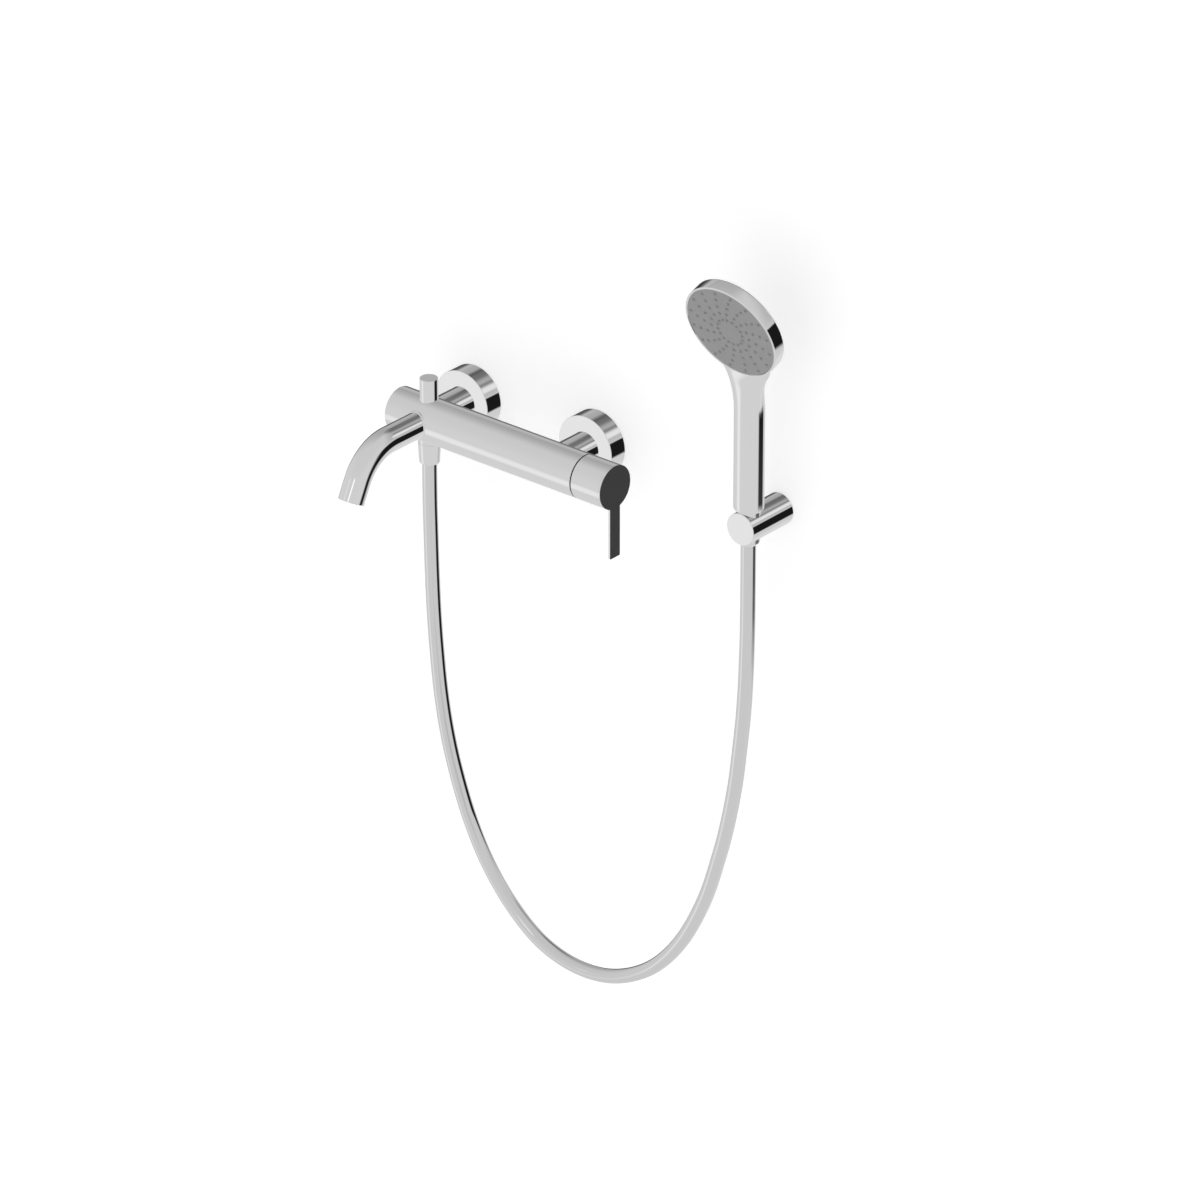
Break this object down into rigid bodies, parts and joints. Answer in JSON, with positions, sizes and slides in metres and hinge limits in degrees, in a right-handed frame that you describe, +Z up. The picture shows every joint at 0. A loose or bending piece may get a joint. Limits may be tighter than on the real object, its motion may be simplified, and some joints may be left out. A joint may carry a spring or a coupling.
{
  "type": "wall mounted bath faucet",
  "caption": "Wall mounted single-lever bath mixer with curved spout, pull-up diverter, hanging hose, hand shower and wall holder.",
  "frame": {"origin": "on the wall, midway between the two wall connections, at the height of the mixer's axis", "axes": "+X along the wall to the right, +Y into the wall, +Z up; the room is on the -Y side"},
  "size_m": [0.4507, 0.2237, 0.7808],
  "materials": {
    "chrome": "mirror-polished chrome plate",
    "brass": "machined, unplated",
    "stainless_steel": "plain",
    "dark_lever_face": "dark anthracite, semi-gloss",
    "ceramic": "polished ceramic",
    "rubber_seal": "matte",
    "fibre_washer": "pressed fibre",
    "white_plastic": "moulded",
    "grey_spray_face": "satin grey",
    "silver_hose": "smooth metallic silver"
  },
  "bodies": {
    "wall_set": {"mixer_body": "chrome", "body_end_plug": "chrome", "left_escutcheon": "chrome", "right_escutcheon": "chrome", "spout_pipe": "chrome", "aerator_housing": "chrome", "hose_nut": "chrome", "holder_post": "chrome", "left_wall_union": "brass", "right_wall_union": "brass", "left_union_nut": "brass", "right_union_nut": "brass", "left_inlet_nipple": "brass", "right_inlet_nipple": "brass", "cartridge_seat": "brass", "cartridge_lock_ring": "brass", "diverter_bushing": "brass", "spout_nipple": "brass", "hose_outlet": "brass", "hose_ferrule": "brass", "holder_wall_plate": "brass", "holder_grub_screw": "stainless_steel", "holder_wall_screw": "stainless_steel", "diverter_spring": "stainless_steel", "fixed_ceramic_disc": "ceramic", "left_escutcheon_seal": "rubber_seal", "right_escutcheon_seal": "rubber_seal", "cartridge_base_seal": "rubber_seal", "aerator_washer": "rubber_seal", "hose_washer": "rubber_seal", "left_inlet_washer": "fibre_washer", "right_inlet_washer": "fibre_washer", "waterway_core": "white_plastic", "left_check_valve": "white_plastic", "right_check_valve": "white_plastic", "cartridge_housing": "white_plastic", "aerator_insert": "white_plastic", "hose": "silver_hose"},
    "handle": {"handle_cap": "chrome", "lever": "chrome", "lever_face": "dark_lever_face", "handle_grub_screw": "stainless_steel", "cartridge_spindle": "brass", "moving_ceramic_disc": "ceramic", "temperature_limit_ring": "fibre_washer"},
    "diverter": {"diverter_knob": "chrome", "diverter_stem": "brass", "diverter_seal": "rubber_seal"},
    "hand_shower": {"handset_shell": "chrome", "spray_face": "grey_spray_face", "nozzle_mat": "grey_spray_face", "spray_distributor": "white_plastic", "head_seal": "rubber_seal", "handset_inlet": "brass", "handset_water_tube": "white_plastic", "shower_hose_nut": "chrome", "shower_hose_washer": "rubber_seal", "shower_hose_ferrule": "brass"},
    "left_check_poppet": {"left_check_poppet": "rubber_seal"},
    "right_check_poppet": {"right_check_poppet": "rubber_seal"}
  },
  "joints": [
    {"name": "handle_turn", "type": "hinge", "parent": "wall_set", "child": "handle", "pos_m": [0.1135, -0.0648, 0], "axis": [-1, 0, 0], "range_deg": [0, 105]},
    {"name": "diverter_pull", "type": "slide", "parent": "wall_set", "child": "diverter", "axis": [0, 0, 1], "range_m": [0, 0.01], "stiffness_N_per_m": 300, "springref_m": -0.004, "deforming": ["diverter_spring"]},
    {"name": "hand_shower_lift", "type": "slide", "parent": "wall_set", "child": "hand_shower", "axis": [0, 0, 1], "range_m": [0, 0.06]},
    {"name": "left_check_valve_travel", "type": "slide", "parent": "wall_set", "child": "left_check_poppet", "axis": [0, -1, 0], "range_m": [0, 0.0025], "stiffness_N_per_m": 100, "springref_m": -0.002},
    {"name": "right_check_valve_travel", "type": "slide", "parent": "wall_set", "child": "right_check_poppet", "axis": [0, -1, 0], "range_m": [0, 0.0025], "stiffness_N_per_m": 100, "springref_m": -0.002}
  ]
}
